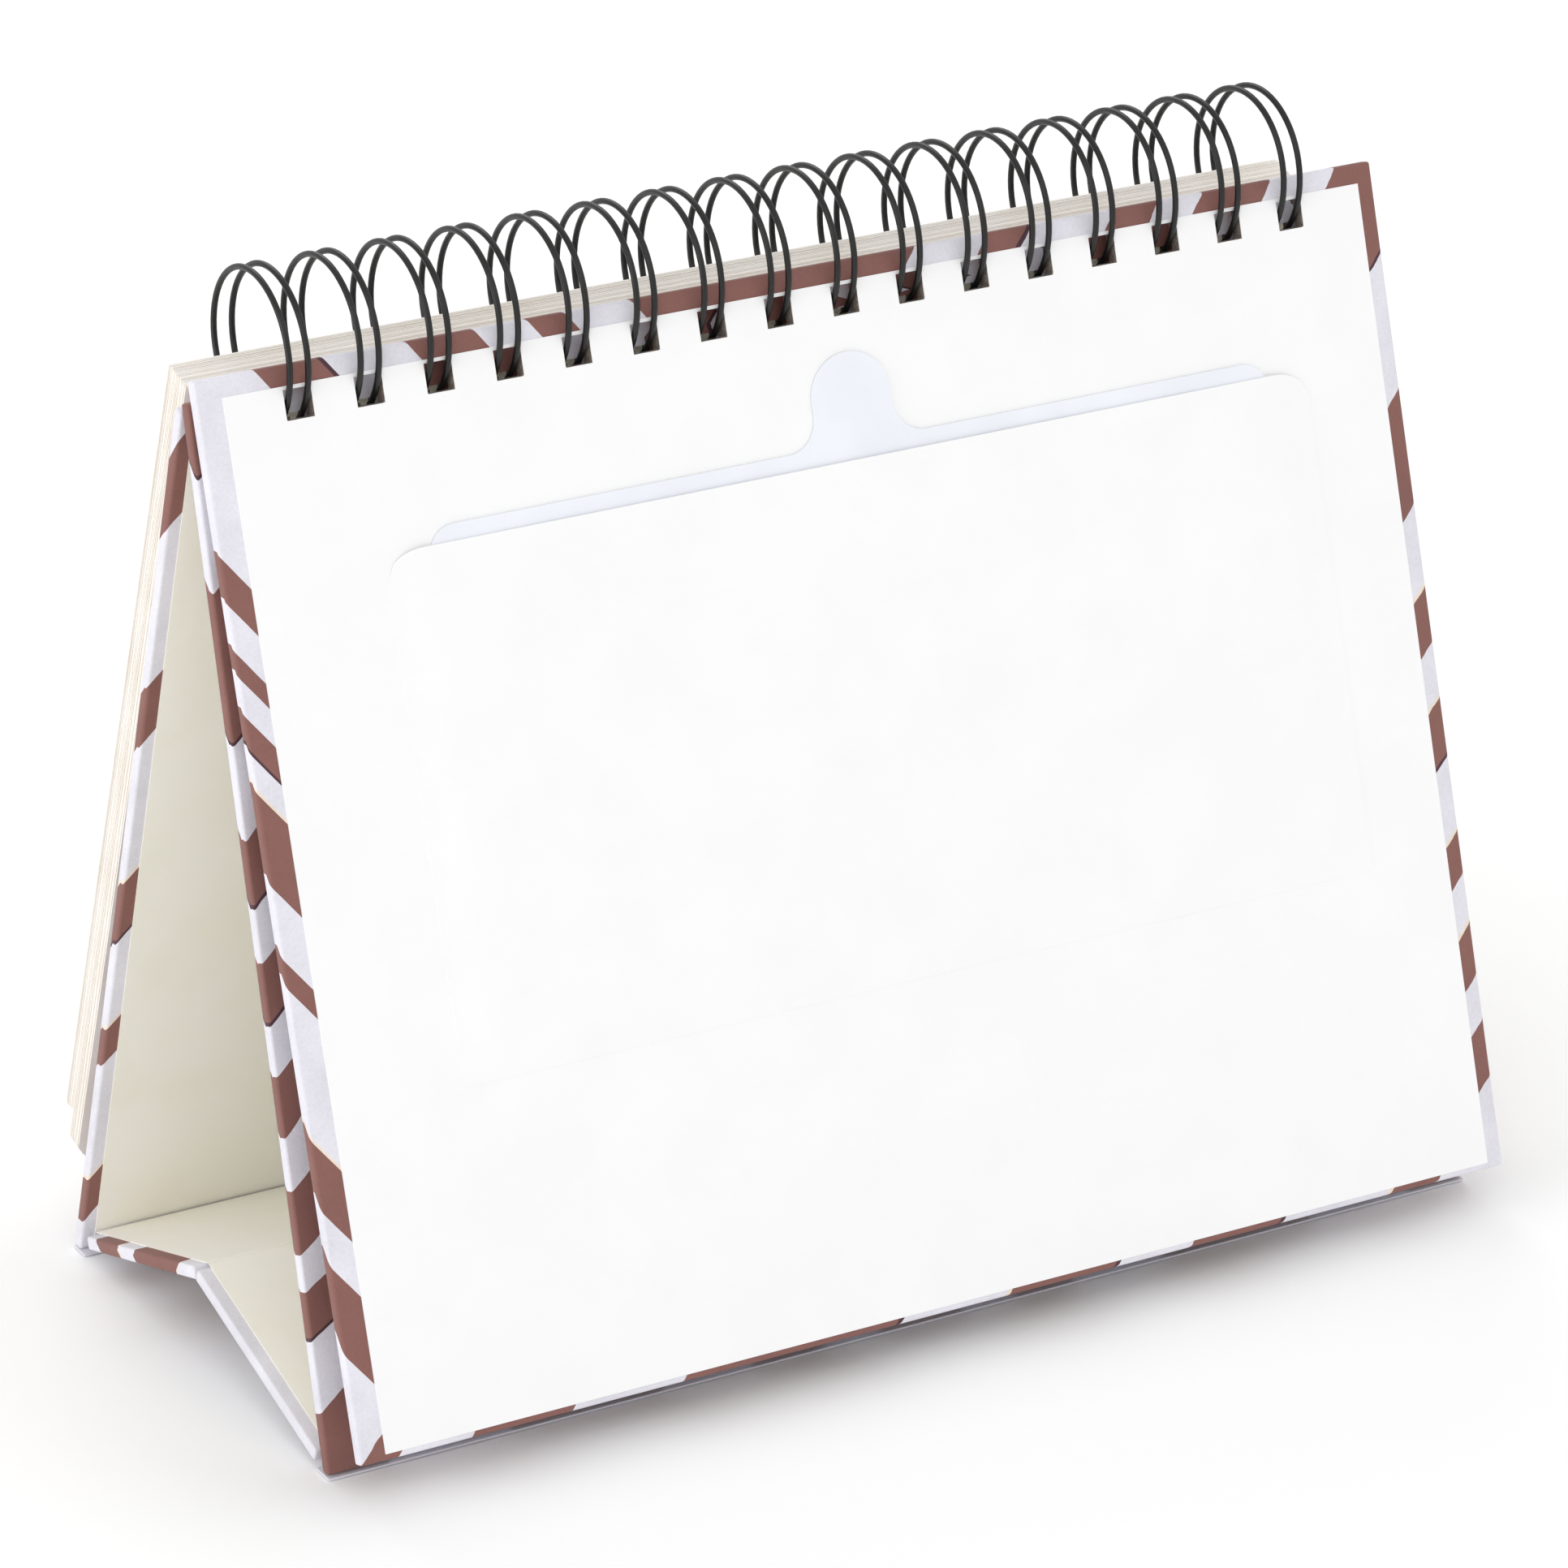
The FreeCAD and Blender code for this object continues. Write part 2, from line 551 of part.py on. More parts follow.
def make_binding():
    """The binding is one wire. Its straight lengths lie in a line, the spine, between the legs. From
    there each loop rises as two parallel wires round the ring and ends in a hairpin at the spine."""
    ring = size("ring_radius")
    wire = size("wire_diameter")
    half_pair = size("wire_pair_spacing") / 2
    bend = size("wire_bend_radius")
    pitch = size("loop_pitch")
    loops = int(size("loop_gaps")) + 1
    first_x = -pitch * (loops - 1) / 2

    radian = FreeCAD.Units.parseQuantity("1 rad").getValueAs("deg").Value
    bend_turn = bend / ring * radian
    tip_turn = (half_pair + wire + size("closure_gap")) / ring * radian
    sweep_start = bend_turn
    sweep_end = 360 - tip_turn

    along = FreeCAD.Vector(1, 0, 0)

    def on_ring(x, turn):
        """A point of the ring, turned away from the spine towards the front and over the top."""
        return FreeCAD.Rotation(along, -turn).multVec(FreeCAD.Vector(x, 0, -ring))

    def heading(turn):
        return FreeCAD.Rotation(along, -turn).multVec(FreeCAD.Vector(0, -1, 0))

    def arc(start, middle, end):
        return Part.Arc(start, middle, end).toShape()

    def quarter(corner_start, corner, corner_end):
        """The bend between the spine and a loop: a quarter of a circle inside a square corner."""
        centre = corner_start + corner_end - corner
        middle = centre + (corner - centre).normalize() * bend
        return arc(corner_start, middle, corner_end)

    edges = []
    for loop in range(loops):
        left_x = first_x + loop * pitch - half_pair
        right_x = left_x + 2 * half_pair
        half_way = (sweep_start + sweep_end) / 2
        left_foot, left_tip = on_ring(left_x, sweep_start), on_ring(left_x, sweep_end)
        right_foot, right_tip = on_ring(right_x, sweep_start), on_ring(right_x, sweep_end)
        hairpin = (left_tip + right_tip) / 2 + heading(sweep_end) * half_pair
        if loop > 0:
            corner = left_foot - heading(sweep_start) * bend
            edges.append(quarter(corner - along * bend, corner, left_foot))
        edges.append(arc(left_foot, on_ring(left_x, half_way), left_tip))
        edges.append(arc(left_tip, hairpin, right_tip))
        edges.append(arc(right_tip, on_ring(right_x, half_way), right_foot))
        if loop < loops - 1:
            corner = right_foot - heading(sweep_start) * bend
            next_corner = corner + along * (pitch - 2 * half_pair)
            edges.append(quarter(right_foot, corner, corner + along * bend))
            edges.append(Part.LineSegment(corner + along * bend, next_corner - along * bend).toShape())

    route = doc.addObject("Part::Feature", "binding_route")
    route.Shape = Part.Wire(edges)
    profile = doc.addObject("Part::Feature", "binding_section")
    section = Part.Circle(on_ring(first_x - half_pair, sweep_start), heading(sweep_start), wire / 2)
    profile.Shape = Part.Wire([section.toShape()])
    binding = doc.addObject("Part::Sweep", "twin_loop_wire")
    binding.Label = "twin_loop_wire"
    binding.Sections = [profile]
    binding.Spine = (route, [f"Edge{number}" for number in range(1, len(edges) + 1)])
    binding.Solid = True
    binding.Frenet = False
    doc.recompute()
    expected = Part.Face(profile.Shape).Area * route.Shape.Length
    if abs(binding.Shape.Volume - expected) > 0.02 * expected:
        raise RuntimeError("the binding's volume is not its section times its length")
    turned = FreeCAD.Rotation(along, -size("spine_angle"))
    binding.Placement = FreeCAD.Placement(FreeCAD.Vector(), turned)
    binding.setExpression("Placement.Base.y", cell("ring_y"))
    binding.setExpression("Placement.Base.z", RING_Z)
    return binding


binding_piece = make_binding()


# ---- checks and export ---------------------------------------------------------------------------

doc.recompute()
for item in doc.Objects:
    if "Invalid" in item.State or "Error" in item.State:
        raise RuntimeError(f"{item.Label} did not compute: {item.State}")

bodies = [item for item in doc.Objects if item.TypeId == "PartDesign::Body"]
pieces = bodies + [front_strip, rear_strip, binding_piece]
os.makedirs("parts", exist_ok=True)
for piece in pieces:
    if piece.Shape.isNull() or not piece.Shape.isValid() or piece.Shape.Volume <= 0:
        raise RuntimeError(f"{piece.Label} is not a sound solid")
for piece in pieces:
    piece.Shape.exportStep(os.path.join("parts", f"{piece.Label}.step"))
print(f"{len(pieces)} pieces")
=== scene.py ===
import math
import random

import bpy
from mathutils import Matrix, Quaternion, Vector


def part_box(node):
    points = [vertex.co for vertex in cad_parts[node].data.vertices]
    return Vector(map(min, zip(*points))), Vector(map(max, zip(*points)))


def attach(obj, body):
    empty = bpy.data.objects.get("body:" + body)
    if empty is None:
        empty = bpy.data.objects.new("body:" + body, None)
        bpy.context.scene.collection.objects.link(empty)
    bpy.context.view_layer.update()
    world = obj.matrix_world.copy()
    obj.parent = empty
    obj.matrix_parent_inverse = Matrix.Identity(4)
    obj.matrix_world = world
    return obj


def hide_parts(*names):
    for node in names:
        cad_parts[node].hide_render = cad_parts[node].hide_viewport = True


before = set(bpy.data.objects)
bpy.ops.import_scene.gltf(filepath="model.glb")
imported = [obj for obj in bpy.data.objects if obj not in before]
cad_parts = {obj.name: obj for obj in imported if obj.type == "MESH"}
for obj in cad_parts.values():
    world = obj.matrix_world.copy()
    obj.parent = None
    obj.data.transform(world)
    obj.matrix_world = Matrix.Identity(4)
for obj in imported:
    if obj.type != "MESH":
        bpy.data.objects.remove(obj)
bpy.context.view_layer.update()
MM = 0.001

# ---- The wrapped cover ---------------------------------------------------------------------------
# The cover is 2 mm greyboard wrapped in uncoated printed paper with irregular brown and
# lavender-white bands. The paper is folded round the four edges and mitred at the corners, so the
# bands run on over soft arrises. Sixteen square binding holes are punched through board and paper.

BOARD_THICKNESS = 2.35 * MM
LOOP_PITCH = 12.7 * MM
LOOP_COUNT = 16
HOLE_SIDE = 5.0 * MM
COVER_HOLE_EDGE = 4.0 * MM
COVER_ANGLE = math.radians(90 - 17.9)
UV_LENGTH = 0.25
BOARD_WIDTH_MM = 226.0
COVER_HEIGHT_MM = 178.0
BAND_LINE_MM = 0.22
EDGE_DRIFT_MM = 0.5
EDGE_WAVE_MM = 7.0
BAND_DRIFT_MM = 5.0
BAND_WAVE_MM = 60.0
SPECKLE_MM = 0.55
WASH_MM = 9.0
GREYBOARD_FIBRE_MM = 0.6
BOARD_ARRIS = 0.55 * MM
PUNCH_CORNER = 0.35 * MM
PUNCH_REACH = 0.02
SMOOTH_ANGLE = math.radians(35)


def srgb(code):
    """A hex colour as the linear numbers that a shader takes."""
    parts = [int(code[i:i + 2], 16) / 255 for i in (1, 3, 5)]
    return [c / 12.92 if c <= 0.04045 else ((c + 0.055) / 1.055) ** 2.4 for c in parts] + [1.0]


def add_node(tree, kind, settings=None, links=None):
    """Adds a shader node with its attributes or socket values, and what feeds its sockets."""
    node = tree.nodes.new(kind)
    for key, value in (settings or {}).items():
        if isinstance(key, str) and hasattr(node, key):
            setattr(node, key, value)
        else:
            node.inputs[key].default_value = value
    for key, source in (links or {}).items():
        tree.links.new(source, node.inputs[key])
    return node


def new_material(name):
    material = bpy.data.materials.new(name)
    material.use_nodes = True
    material.node_tree.nodes.clear()
    return material, material.node_tree


def finish_material(tree, shader):
    add_node(tree, "ShaderNodeOutputMaterial", links={"Surface": shader.outputs["BSDF"]})


def paper_shader(tree, colour, roughness, bump, specular=0.3):
    """Uncoated paper: rough, with a little sheen from its fibres."""
    settings = {"Roughness": roughness, "Specular IOR Level": specular, "Sheen Weight": 0.06}
    return add_node(tree, "ShaderNodeBsdfPrincipled", settings, {"Base Color": colour, "Normal": bump})


def fibre_bump(tree, place, scale_mm, depth_mm):
    """Relief of matted paper fibres of a given size."""
    settings = {"Scale": 1000 / scale_mm, "Detail": 5.0, "Roughness": 0.62}
    fibres = add_node(tree, "ShaderNodeTexNoise", settings, {"Vector": place})
    relief = {"Strength": 0.45, "Distance": depth_mm * MM}
    bump = add_node(tree, "ShaderNodeBump", relief, {"Height": fibres.outputs[0]})
    return bump.outputs["Normal"]


BAND_BROWN = srgb("#885D56")
BAND_LAVENDER = srgb("#E3E1E9")
BAND_CREAM_LINE = srgb("#EBDDCB")
BAND_PLUM_LINE = srgb("#4E333B")


def band_ramp(tree, distance, first_is_brown, edges_mm, length_mm):
    """Bands along an edge: the colour changes at each distance, with a thin printed line there."""
    scaled = add_node(tree, "ShaderNodeMath", {"operation": "DIVIDE", 1: length_mm}, {0: distance})
    ramp = add_node(tree, "ShaderNodeValToRGB", links={"Fac": scaled.outputs[0]})
    ramp.color_ramp.interpolation = "CONSTANT"
    brown = first_is_brown
    ramp.color_ramp.elements[0].position = 0.0
    ramp.color_ramp.elements[0].color = BAND_BROWN if brown else BAND_LAVENDER
    ramp.color_ramp.elements.remove(ramp.color_ramp.elements[1])
    for edge in edges_mm:
        line = ramp.color_ramp.elements.new(edge / length_mm)
        line.color = BAND_PLUM_LINE if brown else BAND_CREAM_LINE
        brown = not brown
        band = ramp.color_ramp.elements.new((edge + BAND_LINE_MM) / length_mm)
        band.color = BAND_BROWN if brown else BAND_LAVENDER
    return ramp.outputs["Color"]


def math_node(tree, operation, first, second):
    node = add_node(tree, "ShaderNodeMath", {"operation": operation})
    for index, value in ((0, first), (1, second)):
        if isinstance(value, (int, float)):
            node.inputs[index].default_value = value
        else:
            tree.links.new(value, node.inputs[index])
    return node.outputs[0]


def board_place(tree, height_mm):
    """Where a point lies on its own flat board, in millimetres: from the left edge and from the top."""
    flat = add_node(tree, "ShaderNodeUVMap", {"uv_map": "flat"})
    parts = add_node(tree, "ShaderNodeSeparateXYZ", links={"Vector": flat.outputs["UV"]})
    across = math_node(tree, "MULTIPLY", parts.outputs["X"], UV_LENGTH * 1000)
    up = math_node(tree, "MULTIPLY", parts.outputs["Y"], UV_LENGTH * 1000)
    return across, math_node(tree, "SUBTRACT", height_mm, up)


def wavering(tree, value, place, amount_mm, wave_mm):
    """A hand-drawn edge: the value drifts by up to the amount over the wave's length."""
    settings = {"Scale": 1000 / wave_mm, "Detail": 3.0, "Roughness": 0.55}
    noise = add_node(tree, "ShaderNodeTexNoise", settings, {"Vector": place})
    centred = math_node(tree, "SUBTRACT", noise.outputs[0], 0.5)
    drift = math_node(tree, "MULTIPLY", centred, 2 * amount_mm)
    return math_node(tree, "ADD", value, drift)


def printed_paper(tree, colour, place):
    """Ink on uncoated paper: a fine speckle in the solid colour, and the fibres' relief."""
    speck_settings = {"Scale": 1000 / SPECKLE_MM, "Detail": 6.0, "Roughness": 0.7}
    speck = add_node(tree, "ShaderNodeTexNoise", speck_settings, {"Vector": place})
    wash_settings = {"Scale": 1000 / WASH_MM, "Detail": 3.0, "Roughness": 0.5}
    wash = add_node(tree, "ShaderNodeTexNoise", wash_settings, {"Vector": place})
    strength = math_node(tree, "ADD", speck.outputs[0], wash.outputs[0])
    shade_settings = {"From Min": 0.7, "From Max": 1.35, "To Min": 0.9, "To Max": 1.08}
    shade = add_node(tree, "ShaderNodeMapRange", shade_settings, {"Value": strength})
    links = {"Vector": colour, "Scale": shade.outputs[0]}
    inked = add_node(tree, "ShaderNodeVectorMath", {"operation": "SCALE"}, links)
    return paper_shader(tree, inked.outputs[0], 0.62, fibre_bump(tree, place, 0.5, 0.06))


def four_sided_bands(name, height_mm, width_mm, top, right, bottom, left):
    """The cover's paper. Each side has its own bands, which meet on the corners' mitres. A side is
    (first band is brown, the edges in mm along the side, how far a band leans per mm from the side)."""
    material, tree = new_material(name)
    place = add_node(tree, "ShaderNodeTexCoord").outputs["Object"]
    across, down = board_place(tree, height_mm)
    across = wavering(tree, across, place, EDGE_DRIFT_MM, EDGE_WAVE_MM)
    down = wavering(tree, down, place, EDGE_DRIFT_MM, EDGE_WAVE_MM)
    from_right = math_node(tree, "SUBTRACT", width_mm, across)
    from_bottom = math_node(tree, "SUBTRACT", height_mm, down)
    middle = math_node(tree, "GREATER_THAN", across, width_mm / 2)

    def leaning(run, depth, lean):
        return math_node(tree, "SUBTRACT", run, math_node(tree, "MULTIPLY", depth, lean))

    top_lean = math_node(tree, "SUBTRACT", top[2], math_node(tree, "MULTIPLY", middle, 2 * top[2]))
    top_run = math_node(tree, "SUBTRACT", across, math_node(tree, "MULTIPLY", down, top_lean))
    top_bands = band_ramp(tree, top_run, top[0], top[1], width_mm)
    right_run = leaning(down, from_right, right[2])
    right_bands = band_ramp(tree, right_run, right[0], right[1], height_mm)
    bottom_run = leaning(across, from_bottom, bottom[2])
    bottom_bands = band_ramp(tree, bottom_run, bottom[0], bottom[1], width_mm)
    left_run = leaning(down, across, left[2])
    left_bands = band_ramp(tree, left_run, left[0], left[1], height_mm)
    colour = top_bands
    nearest = down
    for depth, bands in ((from_right, right_bands), (across, left_bands), (from_bottom, bottom_bands)):
        nearer = math_node(tree, "LESS_THAN", depth, nearest)
        choice = add_node(tree, "ShaderNodeMix", {"data_type": "RGBA"})
        tree.links.new(nearer, choice.inputs["Factor"])
        tree.links.new(colour, choice.inputs[6])
        tree.links.new(bands, choice.inputs[7])
        colour = choice.outputs[2]
        nearest = math_node(tree, "MINIMUM", depth, nearest)
    finish_material(tree, printed_paper(tree, colour, place))
    return material


def upright_bands(name, height_mm, first_is_brown, edges, lean):
    """The paper of a leg or a base board: wavering bands that lean both ways from its middle."""
    material, tree = new_material(name)
    place = add_node(tree, "ShaderNodeTexCoord").outputs["Object"]
    across, down = board_place(tree, height_mm)
    run = wavering(tree, down, place, EDGE_DRIFT_MM, EDGE_WAVE_MM)
    run = wavering(tree, run, place, BAND_DRIFT_MM, BAND_WAVE_MM)
    from_right = math_node(tree, "SUBTRACT", BOARD_WIDTH_MM, across)
    from_side = math_node(tree, "MINIMUM", across, from_right)
    run = math_node(tree, "SUBTRACT", run, math_node(tree, "MULTIPLY", from_side, lean))
    run = math_node(tree, "FLOORED_MODULO", run, height_mm)
    bands = band_ramp(tree, run, first_is_brown, edges, height_mm)
    finish_material(tree, printed_paper(tree, bands, place))
    return material


def greyboard_material():
    """Punched greyboard: a dense grey-brown felt of recycled fibres, torn a little by the punch."""
    material, tree = new_material("punched_greyboard")
    place = add_node(tree, "ShaderNodeTexCoord").outputs["Object"]
    settings = {"Scale": 1000 / GREYBOARD_FIBRE_MM, "Detail": 6.0, "Roughness": 0.7}
    fibres = add_node(tree, "ShaderNodeTexNoise", settings, {"Vector": place})
    ramp = add_node(tree, "ShaderNodeValToRGB", links={"Fac": fibres.outputs[0]})
    ramp.color_ramp.elements[0].position = 0.3
    ramp.color_ramp.elements[0].color = srgb("#5B5048")
    ramp.color_ramp.elements[1].position = 0.72
    ramp.color_ramp.elements[1].color = srgb("#A2958A")
    bump = fibre_bump(tree, place, 0.4, 0.15)
    finish_material(tree, paper_shader(tree, ramp.outputs["Color"], 0.85, bump))
    return material


GREYBOARD = greyboard_material()
COVER_PAPER = four_sided_bands(
    "cover_wrap_printed_paper", COVER_HEIGHT_MM, BOARD_WIDTH_MM,
    (
        False,
        (
            10.2, 21.9, 37.5, 50.1, 59.8, 66.4, 78.7, 133.9,
            147.6, 156.1, 173.5, 182.1, 191.2, 205.1, 218.5,
        ),
        0.75,
    ),
    (True, (15.2, 39.2, 59.2, 73.6, 83.9, 93.0, 103.5, 116.7, 124.7, 133.4, 142.9, 151.2, 160.9), 1.0),
    (True, (6.4, 20.0, 38.5, 59.5, 101.5, 122.5, 144.6, 160.2, 178.2, 201.2, 211.0), 0.8),
    (
        False,
        (27.9, 35.6, 43.5, 47.5, 53.7, 59.7, 66.0, 81.4, 93.5, 98.5, 122.9, 135.0, 144.4, 158.6),
        1.3,
    ),
)


def only(thing):
    """Selects one object and nothing else."""
    bpy.ops.object.select_all(action="DESELECT")
    thing.select_set(True)
    bpy.context.view_layer.objects.active = thing


def apply_modifier(thing, kind, **settings):
    only(thing)
    modifier = thing.modifiers.new(kind.lower(), kind)
    for key, value in settings.items():
        setattr(modifier, key, value)
    bpy.ops.object.modifier_apply(modifier=modifier.name)


def flat_block(name, left, right, bottom, top, low, high):
    """A block between the given faces, with its place in its mesh."""
    bpy.ops.object.select_all(action="DESELECT")
    centre = ((left + right) / 2, (bottom + top) / 2, (low + high) / 2)
    spans = (right - left, top - bottom, high - low)
    bpy.ops.mesh.primitive_cube_add(size=1, location=centre, scale=spans)
    block = bpy.context.object
    block.name = name
    bpy.ops.object.transform_apply(location=True, rotation=True, scale=True)
    return block


def punch_row(piece, top, hole_edge, wall_slot):
    """Punches the row of square holes, and gives their walls the material of the wall slot."""
    high = top - hole_edge
    cutters = []
    for index in range(LOOP_COUNT):
        x = (index - (LOOP_COUNT - 1) / 2) * LOOP_PITCH
        sides = (x - HOLE_SIDE / 2, x + HOLE_SIDE / 2, high - HOLE_SIDE, high)
        cutter = flat_block("punch", *sides, -PUNCH_REACH, PUNCH_REACH)
        apply_modifier(cutter, "BEVEL", width=PUNCH_CORNER, segments=3)
        cutters.append(cutter)
    only(cutters[0])
    for cutter in cutters:
        cutter.select_set(True)
    bpy.ops.object.join()
    row = bpy.context.object
    apply_modifier(piece, "BOOLEAN", operation="DIFFERENCE", solver="EXACT", object=row)
    bpy.data.objects.remove(row, do_unlink=True)
    reach = (LOOP_COUNT - 1) / 2 * LOOP_PITCH + HOLE_SIDE
    slack = 0.1 * MM
    for face in piece.data.polygons:
        in_height = high - HOLE_SIDE - slack < face.center.y < high + slack
        in_row = abs(face.center.x) < reach and in_height
        if in_row and abs(face.normal.z) < 0.7:
            face.material_index = wall_slot


def keep_flat_place(piece, width, height, inner_side):
    """Stores where each corner lies on the unfolded paper, for the print: x from the left, y up. Round
    an edge the paper goes on outwards from the inner face, so a point's depth adds to its distance."""
    layer = piece.data.uv_layers.get("flat") or piece.data.uv_layers.new(name="flat")
    for loop in piece.data.loops:
        corner = piece.data.vertices[loop.vertex_index].co
        depth = BOARD_THICKNESS / 2 - inner_side * corner.z
        across = corner.x + width / 2 + math.copysign(depth, corner.x)
        up = corner.y + math.copysign(depth, corner.y - height / 2)
        layer.data[loop.index].uv = (across / UV_LENGTH, up / UV_LENGTH)


def slope_height(node, angle, thickness):
    """How far a leaning board reaches along its own slope."""
    low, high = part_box(node)
    return (high.z - low.z - thickness * abs(math.cos(angle))) / math.sin(angle)


def slope_foot(node, angle, thickness):
    """The middle of a leaning board's bottom edge."""
    low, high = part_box(node)
    run = thickness / 2 * math.sin(angle)
    y = low.y + run if angle < math.pi / 2 else high.y - run
    return Vector((0, y, low.z + thickness / 2 * abs(math.cos(angle))))


def stand_up(piece, angle, foot):
    """Leans a flat piece to its slope and sets it on its foot, with its place in its mesh."""
    only(piece)
    piece.data.transform(Matrix.Translation(foot) @ Matrix.Rotation(angle, 4, "X"))
    piece.data.update()
    bpy.ops.object.shade_smooth_by_angle(angle=SMOOTH_ANGLE)


def wrapped_board(name, node, angle, paper, body, hole_edge, inner_side):
    """A board with its paper: a block with soft arrises, punched where the binding passes."""
    low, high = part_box(node)
    width = high.x - low.x
    height = slope_height(node, angle, BOARD_THICKNESS)
    board = flat_block(name, -width / 2, width / 2, 0, height, -BOARD_THICKNESS / 2, BOARD_THICKNESS / 2)
    apply_modifier(board, "BEVEL", width=BOARD_ARRIS, segments=4, limit_method="ANGLE")
    board.data.materials.append(paper)
    board.data.materials.append(GREYBOARD)
    punch_row(board, height, hole_edge, 1)
    keep_flat_place(board, width, height, inner_side)
    stand_up(board, angle, slope_foot(node, angle, BOARD_THICKNESS))
    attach(board, body)
    return board


cover_board = wrapped_board(
    "cover_wrapped_board", "cover_wrap", COVER_ANGLE, COVER_PAPER, "cover", COVER_HOLE_EDGE, 1
)
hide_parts("cover_wrap", "cover_board")

# ---- The cover's lining, its pocket and the card -------------------------------------------------
# White lining paper is glued inside the cover, over the turned-in wrap. Its lower part is a pocket
# that opens upwards: the mouth is a slit with two curved ends, and the paper lifts a little there.
# A smooth bluish-white card with a round finger tab stands in the pocket.

FORMATION_MM = 14.0


def plain_paper(name, code, warm_code, grain_mm, roughness=0.6):
    """Plain paper: an even colour with a faint cloudy formation and fibre relief."""
    material, tree = new_material(name)
    place = add_node(tree, "ShaderNodeTexCoord").outputs["Object"]
    settings = {"Scale": 1000 / FORMATION_MM, "Detail": 4.0}
    cloud = add_node(tree, "ShaderNodeTexNoise", settings, {"Vector": place})
    ramp = add_node(tree, "ShaderNodeValToRGB", links={"Fac": cloud.outputs[0]})
    ramp.color_ramp.elements[0].position = 0.35
    ramp.color_ramp.elements[0].color = srgb(warm_code)
    ramp.color_ramp.elements[1].position = 0.65
    ramp.color_ramp.elements[1].color = srgb(code)
    bump = fibre_bump(tree, place, grain_mm, 0.03)
    finish_material(tree, paper_shader(tree, ramp.outputs["Color"], roughness, bump))
    return material


def dress(node, material):
    """Gives a CAD node its real finish."""
    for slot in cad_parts[node].material_slots:
        slot.material = material


WHITE_LINING = plain_paper("white_lining_paper", "#F9F9F9", "#F7F7F7", 0.5)
CARD_STOCK = plain_paper("bluish_card_stock", "#F1F4FA", "#ECEFF6", 0.35, 0.45)
dress("cover_liner", WHITE_LINING)
dress("pocket_card", CARD_STOCK)

POCKET_LEFT = 28.5 * MM
POCKET_WIDTH = 178.6 * MM
POCKET_MOUTH = 33.0 * MM
POCKET_DEPTH = 88.0 * MM
MOUTH_CORNER = 7.0 * MM
MOUTH_CORNER_SHARE = 0.65
MOUTH_FADE = 9 * MM
POCKET_SEAM = 4.0 * MM
SHEET_LIFT = 0.46 * MM
MOUTH_LIFT = 0.3 * MM
LINER_LEVEL = BOARD_THICKNESS / 2 + 0.15 * MM
GLUE = 0.015 * MM
PAPER = 0.12 * MM


def pocket_sheet():
    """The pocket's front: a sheet that lies flush round its seams and stands off at the mouth."""
    low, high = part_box("cover_wrap")
    width = high.x - low.x
    height = slope_height("cover_wrap", COVER_ANGLE, BOARD_THICKNESS)
    bpy.ops.object.select_all(action="DESELECT")
    bpy.ops.mesh.primitive_grid_add(x_subdivisions=120, y_subdivisions=70, size=1)
    sheet = bpy.context.object
    sheet.name = "pocket_front_sheet"
    left = -width / 2 + POCKET_LEFT
    mouth = height - POCKET_MOUTH
    for vertex in sheet.data.vertices:
        across = (vertex.co.x + 0.5) * POCKET_WIDTH
        down = (0.5 - vertex.co.y) * POCKET_DEPTH
        side = min(across, POCKET_WIDTH - across)
        if side < MOUTH_CORNER:
            fall = MOUTH_CORNER - math.sqrt(MOUTH_CORNER ** 2 - (MOUTH_CORNER - side) ** 2)
            down = max(down, down + fall * MOUTH_CORNER_SHARE * (1 - down / POCKET_DEPTH))
        rise = min(1.0, side / (2 * POCKET_SEAM)) * min(1.0, (POCKET_DEPTH - down) / POCKET_SEAM)
        near_mouth = math.exp(-down / MOUTH_FADE) * math.sin(math.pi * across / POCKET_WIDTH)
        lift = SHEET_LIFT * rise * rise * (3 - 2 * rise) + MOUTH_LIFT * near_mouth
        vertex.co = Vector((left + across, mouth - down, LINER_LEVEL + GLUE + lift))
    sheet.data.materials.append(WHITE_LINING)
    apply_modifier(sheet, "SOLIDIFY", thickness=PAPER, offset=1.0)
    stand_up(sheet, COVER_ANGLE, slope_foot("cover_wrap", COVER_ANGLE, BOARD_THICKNESS))
    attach(sheet, "cover")
    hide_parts("cover_pocket_sheet")


pocket_sheet()

# ---- The easel's legs ----------------------------------------------------------------------------
# The easel is one long printed paper folded round four boards: two legs that hang on the binding
# and a base in two halves. The legs are punched like the cover and lined with ivory paper inside.

LEG_HOLE_EDGE = 4.4 * MM
FRONT_LEG_ANGLE = math.radians(90 - 14.8)
REAR_LEG_ANGLE = math.radians(90 + 15.0)
FRONT_LEG_HEIGHT_MM = 178.0
REAR_LEG_HEIGHT_MM = 176.0
FRONT_LEG_PAPER = upright_bands(
    "front_leg_printed_paper", FRONT_LEG_HEIGHT_MM, True,
    (9.0, 28.9, 53.4, 69.9, 80.6, 89.9, 100.8, 110.3, 119.9, 128.8, 139.8, 147.1, 155.7, 168.7), -0.85,
)
REAR_LEG_PAPER = upright_bands(
    "rear_leg_printed_paper", REAR_LEG_HEIGHT_MM, False,
    (5.8, 22.4, 52.6, 65.7, 94.7, 107.1, 125.6, 134.5, 160.7, 169.5), -1.2,
)
IVORY_LINING = plain_paper("ivory_lining_paper", "#FEFBF3", "#FBF8EC", 0.5)

